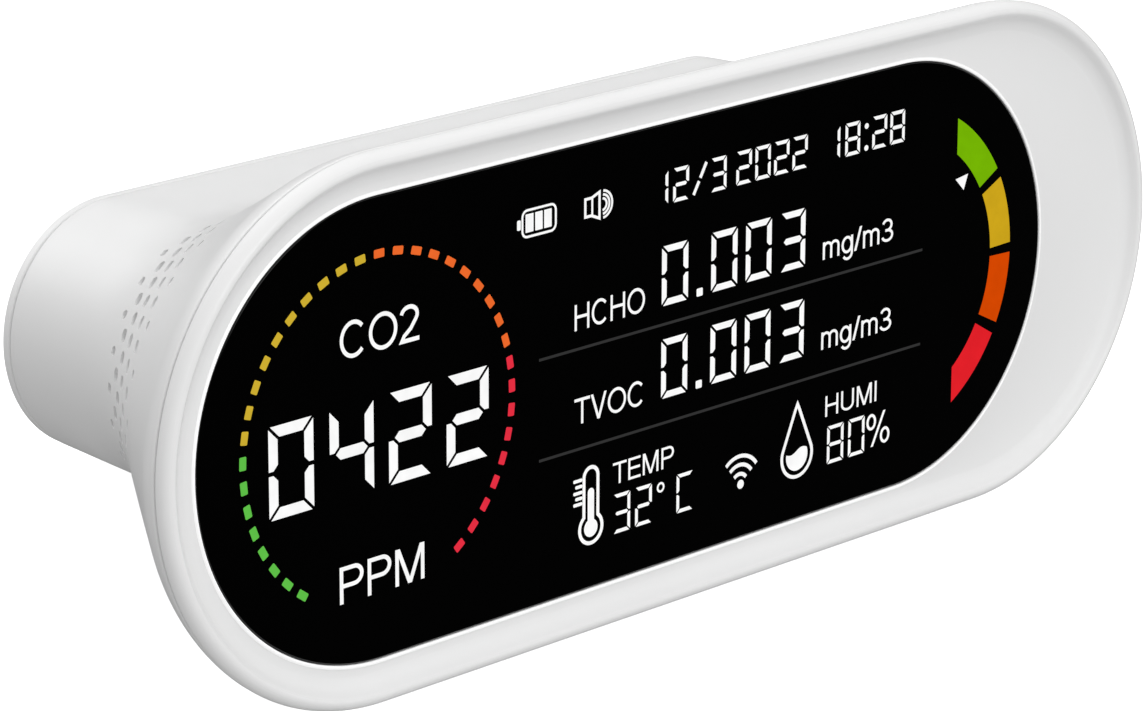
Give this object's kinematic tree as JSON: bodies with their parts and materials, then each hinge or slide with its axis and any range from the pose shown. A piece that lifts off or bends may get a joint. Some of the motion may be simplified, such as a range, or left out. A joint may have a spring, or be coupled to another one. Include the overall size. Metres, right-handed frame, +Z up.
{
  "type": "air quality monitor",
  "caption": "Desktop air quality monitor: stadium-shaped display tray on a flared, vented white rear body, leaning back on rubber feet, with sprung push buttons on the back.",
  "frame": {"origin": "middle of the bounding box, on the plane that the four rubber feet stand on", "axes": "+X to the right along the display, +Y from the display towards the back, +Z up; the display leans back 21.2 degrees from upright"},
  "size_m": [0.1858, 0.0722, 0.0684],
  "materials": {
    "white_abs": "satin moulded ABS",
    "black_lens": "polished black acrylic window",
    "black_tape": "matt foam tape",
    "printed_film": "printed polyester film",
    "reflector_white": "matt moulded white",
    "board_green": "solder-masked glass epoxy board",
    "plated_steel": "nickel plated",
    "brass": "plain",
    "black_plastic": "matt moulded black",
    "cell_sleeve": "shrink sleeve",
    "grey_rubber": "matt",
    "wire_jacket": "smooth jacket"
  },
  "bodies": {
    "housing": {"battery_cell": "cell_sleeve", "battery_cradle": "black_plastic", "battery_lead": "wire_jacket", "board_standoff_1": "brass", "board_standoff_2": "brass", "board_standoff_3": "brass", "board_standoff_4": "brass", "buzzer": "black_plastic", "co2_sensor": "brass", "cover_screw_1": "plated_steel", "cover_screw_2": "plated_steel", "cover_screw_3": "plated_steel", "cover_screw_4": "plated_steel", "display_board": "board_green", "display_lens": "black_lens", "display_ribbon": "reflector_white", "display_screw_1": "plated_steel", "display_screw_2": "plated_steel", "display_screw_3": "plated_steel", "display_screw_4": "plated_steel", "front_bezel": "white_abs", "front_foot_left": "grey_rubber", "front_foot_right": "grey_rubber", "hcho_sensor": "plated_steel", "lens_adhesive": "black_tape", "main_board": "board_green", "main_board_screw_1": "plated_steel", "main_board_screw_2": "plated_steel", "main_board_screw_3": "plated_steel", "main_board_screw_4": "plated_steel", "menu_switch": "black_plastic", "power_switch": "black_plastic", "rear_board": "board_green", "rear_cover": "white_abs", "rear_foot_left": "grey_rubber", "rear_foot_right": "grey_rubber", "rear_lead": "wire_jacket", "rear_shell": "white_abs", "segment_film": "printed_film", "segment_reflector": "reflector_white", "set_switch": "black_plastic", "temp_humidity_sensor": "reflector_white", "tvoc_sensor": "plated_steel", "usb_socket": "plated_steel", "wifi_module": "plated_steel"},
    "power_button": {"power_button": "white_abs"},
    "menu_button": {"menu_button": "white_abs"},
    "set_button": {"set_button": "white_abs"}
  },
  "joints": [
    {"name": "power_button_press", "type": "slide", "parent": "housing", "child": "power_button", "axis": [0, -0.9325, 0.3612], "range_m": [0, 0.0004], "stiffness_N_per_m": 1500},
    {"name": "menu_button_press", "type": "slide", "parent": "housing", "child": "menu_button", "axis": [0, -0.9325, 0.3612], "range_m": [0, 0.0004], "stiffness_N_per_m": 1500},
    {"name": "set_button_press", "type": "slide", "parent": "housing", "child": "set_button", "axis": [0, -0.9325, 0.3612], "range_m": [0, 0.0004], "stiffness_N_per_m": 1500}
  ]
}
